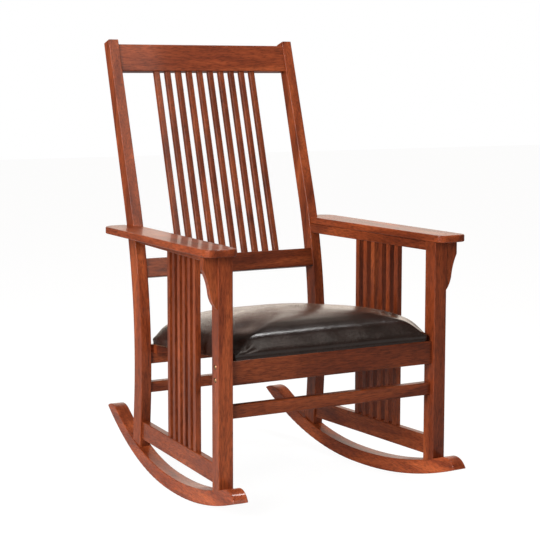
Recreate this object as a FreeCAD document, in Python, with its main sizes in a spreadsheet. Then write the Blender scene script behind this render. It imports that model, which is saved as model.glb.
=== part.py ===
import FreeCAD, Part
import os
import re
import Sketcher

# An upholstered rocking chair with square slats, built as cabinet makers build it: a tenoned back
# frame, two side frames that close in towards the back, a bolted front rail and a padded seat.
# X runs to the sitter's left, Y to the back and Z up. The origin lies on the floor under the middle
# of the chair. Lengths are millimetres, angles are degrees, and left means the side at negative X.

SIZES = {
    # Plan
    "front_wide": 622,
    "side_turn": 3.83,
    "edge_round": 2,
    # Front posts
    "front_post_wide": 36,
    "front_post_deep": 38,
    "arm_under": 608,
    # Rear posts
    "rear_gap": 490,
    "rear_post_wide": 28,
    "rear_post_front": 497,
    "rear_post_deep": 45,
    "rear_post_top": 1099,
    "front_bend": 1400,
    "front_waist": 280,
    "back_bend": 1370,
    "back_waist": 293,
    "front_rake": 17.5,
    "back_rake": 16.3,
    "foot_sweep": 5,
    # Rockers
    "rocker_wide": 36,
    "rocker_thick": 35.5,
    "rocker_low": 310,
    "rest_flat": 20,
    "front_arc": 1128,
    "back_arc": 809,
    "nose_reach": 81.6,
    "nose_round": 40,
    "tail_past_foot": 186,
    "tail_round": 70,
    "foot_margin": 1,
    "rear_foot_inset": 9,
    "rear_foot_long": 56,
    # Back frame
    "back_recess": 5,
    "back_rail_thick": 22,
    "crest_drop": 49.5,
    "crest_high": 72,
    "low_rail_middle": 517,
    "low_rail_high": 48,
    "back_slat_wide": 14.5,
    "back_slat_deep": 14,
    "back_slat_step": 31.5,
    # Rails and stretchers
    "rail_tenon": 16,
    "tenon_thick": 10,
    "tenon_shoulder": 7,
    "seat_front_high": 367,
    "seat_back_high": 324,
    "front_rail_high": 56,
    "front_rail_thick": 24,
    "front_rail_recess": 7,
    "rear_rail_high": 49,
    "rear_rail_thick": 22,
    "rear_rail_recess": 7,
    "front_stretcher_low": 234,
    "front_stretcher_high": 30.5,
    "front_stretcher_thick": 20,
    "front_stretcher_recess": 11,
    "rear_stretcher_low": 201,
    "rear_stretcher_high": 27.5,
    "rear_stretcher_thick": 22,
    "rear_stretcher_recess": 5,
    # Side frames
    "side_rail_low": 80,
    "side_rail_high": 47,
    "side_rail_thick": 18,
    "arm_rail_high": 24,
    "arm_rail_thick": 20,
    "side_slat_wide": 15,
    "side_slat_deep": 14,
    "side_slat_step": 32,
    "side_slat_middle": 247.5,
    "slat_tenon": 9,
    "slat_tenon_thick": 8,
    # Arms
    "arm_thick": 17.5,
    "arm_lead": 27,
    "arm_long": 619,
    "arm_outer_lap": 42.5,
    "arm_wide": 82,
    "arm_outer_draw": 14.5,
    "arm_inner_step": 5,
    "arm_front_round": 22,
    "arm_rear_round": 37,
    "arm_ease": 3,
    # Corbels
    "corbel_out": 35,
    "corbel_square": 30,
    "corbel_waist_out": 18,
    "corbel_waist_drop": 83,
    "corbel_high": 121,
    "corbel_hollow": 150,
    "corbel_swell": 67,
    "corbel_thick": 18,
    "corbel_recess": 4,
    # Seat
    "board_thick": 8,
    "board_corner": 24,
    "cleat_wide": 20,
    "cleat_high": 24,
    "cleat_inset": 10,
    "cover_thick": 2,
    "cover_slack": 0.3,
    "cover_lip": 3,
    "cushion_front_half": 270,
    "cushion_back_half": 239.5,
    "cushion_lead": 2,
    "cushion_deep": 514,
    "cushion_high": 85,
    "cushion_crown_run": 190,
    "cushion_corner": 40,
    "dust_cover_thick": 1,
    "dust_cover_inset": 12,
    # Fasteners
    "hole_slack": 0.15,
    "dowel_radius": 4,
    "dowel_long": 36,
    "dowel_apart": 22,
    "bolt_radius": 3,
    "bolt_long": 78,
    "bolt_apart": 30,
    "bolt_middle": 340.5,
    "bolt_head_radius": 6.3,
    "bolt_head_high": 3.5,
    "bolt_spot": 0.6,
    "nut_radius": 5,
    "nut_long": 18,
    "foot_screw_radius": 3,
    "foot_screw_long": 62,
    "foot_screw_sink": 8,
    "foot_screw_back": 12.5,
    "screw_head_radius": 5.5,
    "screw_head_high": 3,
    "arm_screw_radius": 2.2,
    "arm_screw_long": 34,
    "arm_screw_head": 4.2,
    "arm_screw_front": 100,
    "arm_screw_back": 400,
    "seat_screw_long": 26,
    "seat_screw_apart": 180,
}


def degrees(text):
    """An angle as a plain number of degrees."""
    return f"({text}) / (1 deg)"


# Sizes that follow from the ones above.
WORKED = {
    "rear_foot_from": "rear_post_front + rear_foot_inset",
    "rear_foot_to": "rear_foot_from + rear_foot_long",
    "tail_reach": "rear_foot_to + tail_past_foot",
    "mid": "(tail_reach - nose_reach) * cos(side_turn) / 2 - rocker_wide * sin(side_turn) / 2",
    "half_front": "front_wide / 2",
    "post_middle": "front_post_wide / 2",
    "front_run": "rocker_low - rest_flat / 2 + nose_reach",
    "back_run": "tail_reach - rocker_low - rest_flat / 2",
    "nose_rise": "front_arc - sqrt(front_arc ^ 2 - front_run ^ 2)",
    "tail_rise": "back_arc - sqrt(back_arc ^ 2 - back_run ^ 2)",
    "front_top_arc": "front_arc - rocker_thick",
    "back_top_arc": "back_arc - rocker_thick",
    "nose_core": "front_top_arc + nose_round",
    "tail_core": "back_top_arc + tail_round",
    "nose_lean": degrees(
        "asin(front_run / front_arc)"
        " - acos((front_arc ^ 2 + nose_core ^ 2 - nose_round ^ 2) / (2 * front_arc * nose_core))"),
    "tail_lean": degrees(
        "asin(back_run / back_arc)"
        " - acos((back_arc ^ 2 + tail_core ^ 2 - tail_round ^ 2) / (2 * back_arc * tail_core))"),
    "front_flat_end": "rocker_low - rest_flat / 2",
    "back_flat_end": "rocker_low + rest_flat / 2",
    "front_foot_to": "front_post_deep + foot_margin",
    "front_sweep_high": "front_waist - front_bend * sin(foot_sweep)",
    "back_sweep_high": "back_waist - back_bend * sin(foot_sweep)",
    "front_sweep_out": "rear_post_front + front_bend * (1 - cos(foot_sweep))",
    "back_sweep_out": "rear_post_front + rear_post_deep + back_bend * (1 - cos(foot_sweep))",
    "front_rake_high": "front_waist + front_bend * sin(front_rake)",
    "back_rake_high": "back_waist + back_bend * sin(back_rake)",
    "front_rake_out": "rear_post_front + front_bend * (1 - cos(front_rake))",
    "back_rake_out": "rear_post_front + rear_post_deep + back_bend * (1 - cos(back_rake))",
    "crest_middle": "rear_post_top - crest_drop",
    "crest_out": "front_rake_out + (crest_middle - front_rake_high) * tan(front_rake)"
                 " + back_recess + back_rail_thick / 2",
    "low_rail_out": "rear_post_front + front_bend"
                    " - sqrt(front_bend ^ 2 - (low_rail_middle - front_waist) ^ 2)"
                    " + back_recess + back_rail_thick / 2",
    "back_lean": degrees("atan((crest_out - low_rail_out) / (crest_middle - low_rail_middle))"),
    "back_run_up": "sqrt((crest_out - low_rail_out) ^ 2 + (crest_middle - low_rail_middle) ^ 2)",
    "rear_rail_front": "rear_post_front + rear_rail_recess",
    "seat_fall": degrees("atan((seat_front_high - seat_back_high) / (rear_rail_front - front_rail_recess))"),
    "arm_rail_low": "arm_under - arm_rail_high",
    "side_rail_top": "side_rail_low + side_rail_high",
    "arm_post_front": "rear_post_front + front_bend"
                      " - sqrt(front_bend ^ 2 - (arm_under - front_waist) ^ 2)",
    "arm_post_middle": "arm_post_front + rear_post_deep / 2",
    "low_post_front": "front_sweep_out + (front_sweep_high - side_rail_low - side_rail_high / 2)"
                      " * tan(foot_sweep)",
    "arm_outer": "half_front + arm_outer_lap",
    "arm_inner": "arm_outer - arm_wide",
    "arm_back": "arm_long - arm_lead",
    "arm_notch": "rear_gap / 2 + rear_post_wide",
    "arm_inner_back": "rear_gap / 2 + arm_inner_step",
    "arm_outer_turn": degrees("atan(arm_outer_draw / arm_long)"),
    "arm_inner_turn": degrees("atan((arm_inner - arm_inner_back) / (arm_post_middle + arm_lead))"),
    "arm_outer_cut": "arm_front_round * tan(45 + arm_outer_turn / 2)",
    "arm_rear_cut": "arm_rear_round * tan(45 - arm_outer_turn / 2)",
    "arm_inner_cut": "arm_front_round * tan(45 - arm_inner_turn / 2)",
    "post_tip_out": "front_rake_out + (rear_post_top - front_rake_high) * tan(front_rake)",
    "post_tip_deep": "(back_rake_out + (rear_post_top - back_rake_high) * tan(back_rake) - post_tip_out)"
                     " / (cos(front_rake) + sin(front_rake) * tan(back_rake))",
    "cushion_taper": degrees("atan((cushion_front_half - cushion_back_half) / cushion_deep)"),
    "stretcher_middle": "front_stretcher_recess + front_stretcher_thick / 2",
    "stretcher_end": "half_front - stretcher_middle * tan(side_turn) - front_post_wide / cos(side_turn)",
    "bolt_line": "front_rail_recess + front_rail_thick / 2",
    "bolt_seat": "half_front - bolt_line * tan(side_turn) - bolt_spot",
    "nut_line": "bolt_seat - bolt_long + bolt_head_high + 2 * nut_radius",
    "cleat_half": "rear_gap / 2 - cleat_inset",
    "front_cleat_line": "front_rail_recess + front_rail_thick + cleat_wide / 2",
    "rear_cleat_line": "rear_rail_front - cleat_wide / 2",
    "rear_cleat_top": "seat_back_high + cleat_wide * tan(seat_fall)",
    "rear_foot_middle": "rear_foot_from + rear_foot_long / 2",
}

doc = FreeCAD.newDocument("RockingChair")
sheet = doc.addObject("Spreadsheet::Sheet", "Sizes")
for row, (name, size) in enumerate(SIZES.items(), start=1):
    sheet.set(f"A{row}", name)
    sheet.set(f"B{row}", str(size))
    sheet.setAlias(f"B{row}", name)
doc.recompute()

PARTS = {}
BACK_SLATS = 10
SIDE_SLATS = 6
WHOLE_TURN = 360
QUARTER = "90"
FLAT_SHARE = 1e-5
# The cushion's side, from its foot up: height, inset and corner as shares of their full sizes.
CROWN_SHARES = (
    (0, 0.026, 0.8),
    (0.10, 0.006, 0.9),
    (0.22, 0, 1),
    (0.38, 0.006, 1.15),
    (0.50, 0.03, 1.3),
    (0.60, 0.075, 1.45),
    (0.69, 0.15, 1.75),
    (0.78, 0.26, 2.1),
    (0.87, 0.42, 2.3),
    (0.95, 0.64, 2.2),
    (1, 1, 0.95),
)
RIGHT, LEFT = 1, -1
SIDES = (("left", LEFT), ("right", RIGHT))
ACROSS, ALONG, UP = "YZ_Plane", "XZ_Plane", "XY_Plane"


def cells(text):
    """The formula with each size pointed at its cell, and each worked size written out."""
    def swap(word):
        name = word.group()
        if name in WORKED:
            return "(" + cells(WORKED[name]) + ")"
        return "Sizes." + name if name in SIZES else name
    return re.sub(r"[a-z][a-z_]*", swap, str(text))


def value(text):
    """The number that a formula gives."""
    return float(sheet.evalExpression(cells(text)))


def bind(item, prop, text):
    item.setExpression(prop, cells(text))


def keep(label, item):
    """Gives a finished sub-part its name."""
    item.Label = label
    PARTS[label] = item
    return item


def place(item, x="0", y="0", z="0", axis=(0, 0, 1), turn="0"):
    """Puts an item at a point measured from the front posts' faces, turned about one axis."""
    item.Placement = FreeCAD.Placement(FreeCAD.Vector(), FreeCAD.Rotation(FreeCAD.Vector(*axis), 1))
    bind(item, "Placement.Base.x", x)
    bind(item, "Placement.Base.y", f"({y}) - mid")
    bind(item, "Placement.Base.z", z)
    bind(item, "Placement.Rotation.Angle", turn)
    return item


def square_on(item):
    """Stands an item in the chair's own directions."""
    return place(item)


def on_side(item, hand, high="0"):
    """Stands an item in a side frame: x outward from the post's face, y back along the frame."""
    return place(item, x=f"{hand} * half_front", z=high, turn=f"{hand} * side_turn")


def on_back(item):
    """Stands an item in the plane of the back, with z up the slats from the lower rail's middle."""
    return place(item, y="low_rail_out", z="low_rail_middle", axis=(1, 0, 0), turn="-back_lean")


def on_seat(item):
    """Lays an item on the seat's slope, with y back from the front rail's face."""
    return place(item, y="front_rail_recess", z="seat_front_high", axis=(1, 0, 0), turn="-seat_fall")


def plane_of(body, role):
    return [plane for plane in body.Origin.OriginFeatures if plane.Role == role][0]


def arc_middle(start, end, radius, turn):
    """A point halfway along the arc from start to end: turn is 1 to the left and -1 to the right."""
    half = (end - start) * 0.5
    reach = (radius ** 2 - half.Length ** 2) ** 0.5
    side = FreeCAD.Vector(-half.y, half.x, 0).normalize() * turn
    centre = start + half + side * reach
    return centre - side * radius


def draw(sketch, nodes):
    """Draws a closed outline. A node is (u, v), or (u, v, radius, turn) where an arc leaves it."""
    points = [FreeCAD.Vector(value(node[0]), value(node[1]), 0) for node in nodes]
    ends = []
    for index, node in enumerate(nodes):
        start = points[index]
        end = points[(index + 1) % len(nodes)]
        if len(node) == 2:
            sketch.addGeometry(Part.LineSegment(start, end))
            ends.append((1, 2))
        else:
            middle = arc_middle(start, end, value(node[2]), node[3])
            sketch.addGeometry(Part.Arc(start, middle, end))
            ends.append((1, 2) if node[3] > 0 else (2, 1))
    for index, node in enumerate(nodes):
        after = (index + 1) % len(nodes)
        first = ends[index][0]
        sketch.addConstraint(Sketcher.Constraint("Coincident", index, ends[index][1], after, ends[after][0]))
        for kind, text, number in (("DistanceX", node[0], points[index].x),
                                   ("DistanceY", node[1], points[index].y)):
            row = sketch.addConstraint(Sketcher.Constraint(kind, index, first, number))
            bind(sketch, f"Constraints[{row}]", text)
        if len(node) > 2:
            row = sketch.addConstraint(Sketcher.Constraint("Radius", index, value(node[2])))
            bind(sketch, f"Constraints[{row}]", node[2])


def sketch_on(body, role, nodes, offset="0"):
    """A sketch on one of the body's own planes, moved along that plane's normal by offset."""
    sketch = body.newObject("Sketcher::SketchObject", body.Name + "Outline")
    sketch.AttachmentSupport = [(plane_of(body, role), "")]
    sketch.MapMode = "FlatFace"
    bind(sketch, "AttachmentOffset.Base.z", offset)
    draw(sketch, nodes)
    return sketch


def prism(body, role, nodes, start, long):
    """Adds an outline swept straight: from start along X, Y or Z for the plane across it."""
    against = role == ALONG
    offset = f"-({start})" if against else start
    pad = body.newObject("PartDesign::Pad", body.Name + "Length")
    pad.Profile = sketch_on(body, role, nodes, offset)
    pad.Reversed = against
    bind(pad, "Length", long)
    return body


def new_body(name):
    return doc.addObject("PartDesign::Body", name)


def block(u, v, wide, high):
    """A plain rectangle about (u, v)."""
    left, right = f"({u}) - ({wide}) / 2", f"({u}) + ({wide}) / 2"
    low, top = f"({v}) - ({high}) / 2", f"({v}) + ({high}) / 2"
    return [(left, low), (right, low), (right, top), (left, top)]


def eased(u, v, wide, high, ease="edge_round"):
    """A rectangle about (u, v) with its four corners rounded."""
    left, right = f"({u}) - ({wide}) / 2", f"({u}) + ({wide}) / 2"
    low, top = f"({v}) - ({high}) / 2", f"({v}) + ({high}) / 2"
    return [
        (f"{left} + {ease}", low), (f"{right} - {ease}", low, ease, 1),
        (right, f"{low} + {ease}"), (right, f"{top} - {ease}", ease, 1),
        (f"{right} - {ease}", top), (f"{left} + {ease}", top, ease, 1),
        (left, f"{top} - {ease}"), (left, f"{low} + {ease}", ease, 1),
    ]


def bar(name, role, u, v, wide, high, start, long):
    """A straight stick with eased edges."""
    return prism(new_body(name), role, eased(u, v, wide, high), start, long)


def add_tenons(body, role, u, v, wide, high, start, long, reach):
    """Runs one slimmer core through the stick, so that it stands out at both ends."""
    return prism(body, role, block(u, v, wide, high), f"({start}) - {reach}", f"{long} + 2 * {reach}")


def lies_on(edge, axis, face):
    """Whether an edge lies in the plane where one axis has the value face."""
    box = edge.BoundBox
    low, high = ((box.XMin, box.XMax), (box.YMin, box.YMax), (box.ZMin, box.ZMax))[axis]
    return abs(low - face) + abs(high - face) < FLAT_SHARE * edge.Length


def ease_outline(body, axis, start, long, radius, leave=(), curved=True):
    """Rounds the long edges of a shape that lies between start and start + long on one axis.

    leave lists the (axis, place) planes whose edges stay sharp, where the piece is glued. With curved
    off, only the straight edges are rounded.
    """
    doc.recompute()
    base = body.Tip
    faces = (value(start), value(f"({start}) + ({long})"))
    glued = [(other, value(at)) for other, at in leave]
    names = []
    for number, edge in enumerate(base.Shape.Edges, start=1):
        if any(lies_on(edge, other, at) for other, at in glued):
            continue
        if not curved and not isinstance(edge.Curve, Part.Line):
            continue
        if any(lies_on(edge, axis, face) for face in faces):
            names.append(f"Edge{number}")
    fillet = body.newObject("PartDesign::Fillet", body.Name + "Eased")
    fillet.Base = (base, names)
    bind(fillet, "Radius", radius)
    return body


def together(name, items):
    """Several solids held as one item."""
    group = doc.addObject("Part::Compound", name)
    group.Links = items
    return group


def cut(name, base, tools):
    """The base with every tool taken out of it."""
    result = doc.addObject("Part::Cut", name)
    result.Base = base
    result.Tool = tools[0] if len(tools) == 1 else together(name + "Tools", tools)
    return result


def side_point(hand, out, back):
    """The x and y of a point in a side frame, out from the post's face and back along the frame."""
    x = f"{hand} * (half_front + ({out}) * cos(side_turn) - ({back}) * sin(side_turn))"
    y = f"({out}) * sin(side_turn) + ({back}) * cos(side_turn)"
    return x, y


def spun(name, steps, foot="0", domed=False):
    """Spins a stepped outline about Z from foot up. A step is (radius, height reached)."""
    body = new_body(name)
    nodes = [("0", foot)]
    below = foot
    if domed:
        radius, high = steps[0]
        nodes = [("0", foot, f"(({radius}) ^ 2 + ({high}) ^ 2) / (2 * ({high}))", 1), (radius, high)]
        below = high
        steps = steps[1:]
    for radius, height in steps:
        nodes += [(radius, below), (radius, height)]
        below = height
    nodes.append(("0", below))
    sketch = sketch_on(body, ALONG, nodes)
    turned = body.newObject("PartDesign::Revolution", name + "Turned")
    turned.Profile = sketch
    turned.ReferenceAxis = (sketch, ["V_Axis"])
    turned.Angle = WHOLE_TURN
    return body


def dowel(name, grow="0"):
    """A dowel about its own middle, with its length along Z."""
    half = f"dowel_long / 2 + {grow}"
    return spun(name, [(f"dowel_radius + {grow}", half)], foot=f"-({half})")


def screw(name, head, head_high, shank, long):
    """A screw pointing up, with its head at the foot."""
    return spun(name, [(head, head_high), (shank, long)])


def screw_hole(name, head, head_high, shank, long, sink="0"):
    """The room for that screw, with the head's bore carried down by sink."""
    return spun(name, [(f"{head} + hole_slack", f"{head_high} + hole_slack"),
                       (f"{shank} + hole_slack", f"{long} + hole_slack")], foot=f"-({sink})")


# Rockers

def front_top(back):
    """The height of the rocker's top edge at a distance back, ahead of where it rests."""
    return f"(front_arc - sqrt(front_top_arc ^ 2 - (front_flat_end - ({back})) ^ 2))"


def back_top(back):
    """The same, behind where it rests."""
    return f"(back_arc - sqrt(back_top_arc ^ 2 - (({back}) - back_flat_end) ^ 2))"


def front_under(back):
    return f"(front_arc - sqrt(front_arc ^ 2 - (front_flat_end - ({back})) ^ 2))"


def back_under(back):
    return f"(back_arc - sqrt(back_arc ^ 2 - (({back}) - back_flat_end) ^ 2))"


def make_rocker(side, hand):
    """Two arcs that meet in a short flat under the middle, with flats where the posts stand."""
    nodes = [
        ("front_flat_end", "0"),
        ("back_flat_end", "0", "back_arc", 1),
        ("tail_reach", "tail_rise", "tail_round", 1),
        ("back_flat_end + back_top_arc * sin(tail_lean)", "back_arc - back_top_arc * cos(tail_lean)",
         "back_top_arc", -1),
        ("rear_foot_to", back_top("rear_foot_to")),
        ("rear_foot_from", back_top("rear_foot_from"), "back_top_arc", -1),
        ("back_flat_end", "rocker_thick"),
        ("front_flat_end", "rocker_thick", "front_top_arc", -1),
        ("front_foot_to", front_top("front_foot_to")),
        ("-foot_margin", front_top("-foot_margin"), "front_top_arc", -1),
        ("front_flat_end - front_top_arc * sin(nose_lean)", "front_arc - front_top_arc * cos(nose_lean)",
         "nose_round", 1),
        ("-nose_reach", "nose_rise", "front_arc", 1),
    ]
    start = "-rocker_wide" if hand == RIGHT else "0"
    body = prism(new_body("Rocker" + side), ACROSS, nodes, start, "rocker_wide")
    ease_outline(body, 0, start, "rocker_wide", "edge_round")
    return on_side(body, hand)


# Posts

def make_front_post(side, hand):
    """A square post that runs a little way into the rocker, where it is cut to the rocker's top."""
    foot = front_top("front_post_deep / 2") + " - rocker_thick / 2"
    body = bar("FrontPost" + side, UP, f"-({hand}) * post_middle", "front_post_deep / 2",
               "front_post_wide", "front_post_deep", foot, f"arm_under - ({foot})")
    return on_side(body, hand)


def make_rear_post(side, hand):
    """One sweep from the rocker to the tip: a swept foot, an upright waist and a raked top."""
    foot = back_top("rear_foot_middle") + " - rocker_thick / 2"
    nodes = [
        (f"front_sweep_out + (front_sweep_high - ({foot})) * tan(foot_sweep)", foot),
        (f"back_sweep_out + (back_sweep_high - ({foot})) * tan(foot_sweep)", foot),
        ("back_sweep_out", "back_sweep_high", "back_bend", -1),
        ("back_rake_out", "back_rake_high"),
        ("post_tip_out + post_tip_deep * cos(front_rake)", "rear_post_top - post_tip_deep * sin(front_rake)"),
        ("post_tip_out", "rear_post_top"),
        ("front_rake_out", "front_rake_high", "front_bend", 1),
        ("front_sweep_out", "front_sweep_high"),
    ]
    start = "rear_gap / 2" if hand == RIGHT else "-rear_gap / 2 - rear_post_wide"
    body = prism(new_body("RearPost" + side), ACROSS, nodes, start, "rear_post_wide")
    ease_outline(body, 0, start, "rear_post_wide", "edge_round")
    return square_on(body)


# Rails, stretchers and slats

def cross_rail(name, u, v, thick, high):
    """A rail between the rear posts, with a tenon for each of them."""
    body = bar(name, ACROSS, u, v, thick, high, "-rear_gap / 2", "rear_gap")
    return add_tenons(body, ACROSS, u, v, "tenon_thick", f"{high} - 2 * tenon_shoulder",
                      "-rear_gap / 2", "rear_gap", "rail_tenon")


def slat(name, u, v, wide, deep, start, long):
    """A slat with a square stub tenon at each end."""
    body = bar(name, UP, u, v, wide, deep, start, long)
    return add_tenons(body, UP, u, v, "slat_tenon_thick", "slat_tenon_thick", start, long, "slat_tenon")


def make_back_slats():
    slats = []
    for index in range(BACK_SLATS):
        across = f"back_slat_step * {index - (BACK_SLATS - 1) / 2}"
        item = slat(f"BackSlat{index + 1}", across, "0", "back_slat_wide", "back_slat_deep",
                    "low_rail_high / 2", "back_run_up - low_rail_high / 2 - crest_high / 2")
        slats.append(keep(f"back_slat_{index + 1}", on_back(item)))
    return slats


def make_side_slats(side, hand):
    slats = []
    for index in range(SIDE_SLATS):
        back = f"side_slat_middle + side_slat_step * {index - (SIDE_SLATS - 1) / 2}"
        item = slat(f"SideSlat{side}{index + 1}", f"-({hand}) * post_middle", back,
                    "side_slat_deep", "side_slat_wide", "side_rail_top", "arm_rail_low - side_rail_top")
        slats.append(keep(f"side_slat_{side}_{index + 1}", on_side(item, hand)))
    return slats


def front_bar(name, middle, low, high, thick):
    """A rail or stretcher that runs into both front posts, where it is cut to their faces."""
    return square_on(bar(name, ACROSS, middle, f"{low} + ({high}) / 2", thick, high,
                         "post_middle - half_front", "2 * (half_front - post_middle)"))


def side_bar(name, hand, low, high, thick, back_end):
    """A rail along a side frame that runs into the rear post, where it is cut to that post's face."""
    item = bar(name, ALONG, f"-({hand}) * post_middle", f"{low} + ({high}) / 2", thick, high,
               "front_post_deep", f"({back_end}) - front_post_deep")
    return on_side(item, hand)


# Arms and corbels

def make_arm(side, hand):
    """A flat arm with round corners, notched at its inner back corner round the rear post."""
    outline = [
        ("arm_inner + arm_inner_cut", "-arm_lead"),
        ("arm_outer - arm_outer_cut", "-arm_lead", "arm_front_round", 1),
        ("arm_outer - arm_outer_cut * sin(arm_outer_turn)", "arm_outer_cut * cos(arm_outer_turn) - arm_lead"),
        ("arm_outer - arm_outer_draw + arm_rear_cut * sin(arm_outer_turn)",
         "arm_back - arm_rear_cut * cos(arm_outer_turn)", "arm_rear_round", 1),
        ("arm_outer - arm_outer_draw - arm_rear_cut", "arm_back"),
        ("arm_notch", "arm_back"),
        ("arm_notch", "arm_post_middle"),
        ("arm_inner_back", "arm_post_middle"),
        ("arm_inner - arm_inner_cut * sin(arm_inner_turn)", "arm_inner_cut * cos(arm_inner_turn) - arm_lead",
         "arm_front_round", 1),
    ]
    nodes = [mirrored(node, hand) for node in outline]
    body = prism(new_body("Arm" + side), UP, nodes, "arm_under", "arm_thick")
    ease_outline(body, 2, "arm_under", "arm_thick", "arm_ease")
    return square_on(body)


def mirrored(node, hand):
    """A node of an outline drawn for the right, for either hand."""
    across = f"{hand} * ({node[0]})"
    return (across, node[1]) if len(node) == 2 else (across, node[1], node[2], node[3] * hand)


def make_corbel(side, hand):
    """An S-shaped bracket: a square top, a hollow under it and a swelling at the tip.

    The square's edges are eased, and those of the sawn curve stay crisp.
    """
    outline = [
        ("0", "-corbel_high", "corbel_swell", 1),
        ("corbel_waist_out", "-corbel_waist_drop", "corbel_hollow", -1),
        ("corbel_out", "-corbel_square"),
        ("corbel_out", "0"),
        ("0", "0"),
    ]
    nodes = [mirrored(node, hand) for node in outline]
    body = prism(new_body("Corbel" + side), ALONG, nodes, "corbel_recess", "corbel_thick")
    ease_outline(body, 1, "corbel_recess", "corbel_thick", "edge_round",
                 leave=((0, "0"), (2, "0")), curved=False)
    return on_side(body, hand, "arm_under")


# Seat

def seat_outline(front, inset, corner):
    """The seat's outline, wider in front, drawn in by inset all round and by front at the front."""
    near = f"({front}) - cushion_lead"
    far = f"cushion_deep - cushion_lead - ({inset})"
    near_half = f"(cushion_front_half - ({front}) * tan(cushion_taper) - ({inset}) / cos(cushion_taper))"
    far_half = (f"(cushion_front_half - (cushion_deep - ({inset})) * tan(cushion_taper)"
                f" - ({inset}) / cos(cushion_taper))")
    near_cut = f"({corner}) * tan(45 + cushion_taper / 2)"
    far_cut = f"({corner}) * tan(45 - cushion_taper / 2)"
    return [
        (f"{near_cut} - {near_half}", near),
        (f"{near_half} - {near_cut}", near, corner, 1),
        (f"{near_half} - {near_cut} * sin(cushion_taper)", f"{near} + {near_cut} * cos(cushion_taper)"),
        (f"{far_half} + {far_cut} * sin(cushion_taper)", f"{far} - {far_cut} * cos(cushion_taper)",
         corner, 1),
        (f"{far_half} - {far_cut}", far),
        (f"{far_cut} - {far_half}", far, corner, 1),
        (f"-{far_half} - {far_cut} * sin(cushion_taper)", f"{far} - {far_cut} * cos(cushion_taper)"),
        (f"-{near_half} + {near_cut} * sin(cushion_taper)", f"{near} + {near_cut} * cos(cushion_taper)",
         corner, 1),
    ]


def crown(body, kind, skin):
    """Lofts the cushion's crown, smaller by skin, into the body: its sides swell and its top closes in."""
    sketches = []
    for high_share, inset_share, corner_share in CROWN_SHARES:
        inset = f"cushion_crown_run * {inset_share} + ({skin})"
        nodes = seat_outline(inset, inset, f"cushion_corner * {corner_share}")
        sketches.append(sketch_on(body, UP, nodes, f"board_thick + (cushion_high - ({skin})) * {high_share}"))
    loft = body.newObject(kind, body.Name + "Crown")
    loft.Profile = sketches[0]
    loft.Sections = sketches[1:]
    loft.Ruled = True
    return body


def make_cover():
    """The leather: the crown with a lip over the board's front edge, hollowed out for the foam."""
    body = crown(new_body("SeatCover"), "PartDesign::AdditiveLoft", "0")
    base = f"cushion_crown_run * {CROWN_SHARES[0][1]}"
    half = f"cushion_front_half - {base} - cushion_corner"
    lip = block("0", f"{base} - cushion_lead + cover_lip / 2", f"2 * ({half})", "cover_lip")
    prism(body, UP, lip, "0", "board_thick")
    return on_seat(crown(body, "PartDesign::SubtractiveLoft", "cover_thick"))


def make_seat():
    foam = crown(new_body("SeatFoam"), "PartDesign::AdditiveLoft", "cover_thick + cover_slack")
    keep("seat_foam", on_seat(foam))
    keep("seat_cover", make_cover())
    base = f"cushion_crown_run * {CROWN_SHARES[0][1]}"
    board = prism(new_body("SeatBoard"), UP, seat_outline(f"{base} + cover_lip", base, "board_corner"),
                  "0", "board_thick")
    near = "front_rail_thick + cleat_wide + dust_cover_inset"
    far = "(rear_rail_front - cleat_wide - front_rail_recess) / cos(seat_fall) - dust_cover_inset"
    sheet_nodes = block("0", f"({near} + {far}) / 2", "2 * (cleat_half - dust_cover_inset)",
                        f"{far} - ({near})")
    dust = prism(new_body("DustCover"), UP, sheet_nodes, "-dust_cover_thick", "dust_cover_thick")
    keep("dust_cover", on_seat(dust))
    return on_seat(board)


def make_above_seat():
    """All the room over the seat's slope, which takes the rails and cleats down to it."""
    nodes = block("0", "cushion_deep / 2", "front_wide", "2 * cushion_deep")
    return on_seat(prism(new_body("AboveSeat"), UP, nodes, "0", "cushion_high"))


def make_cleat(name, middle, top):
    return square_on(bar(name, ACROSS, middle, f"{top} - cleat_high / 2", "cleat_wide", "cleat_high",
                         "-cleat_half", "2 * cleat_half"))


# Fasteners: each is made with the room that it needs.

def dowel_pair(name, x, y, z, axis=(0, 0, 1), turn="0"):
    """A dowel and its hole."""
    pin = place(dowel(name), x, y, z, axis, turn)
    hole = place(dowel(name + "Hole", "hole_slack"), x, y, z, axis, turn)
    return pin, hole


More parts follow.
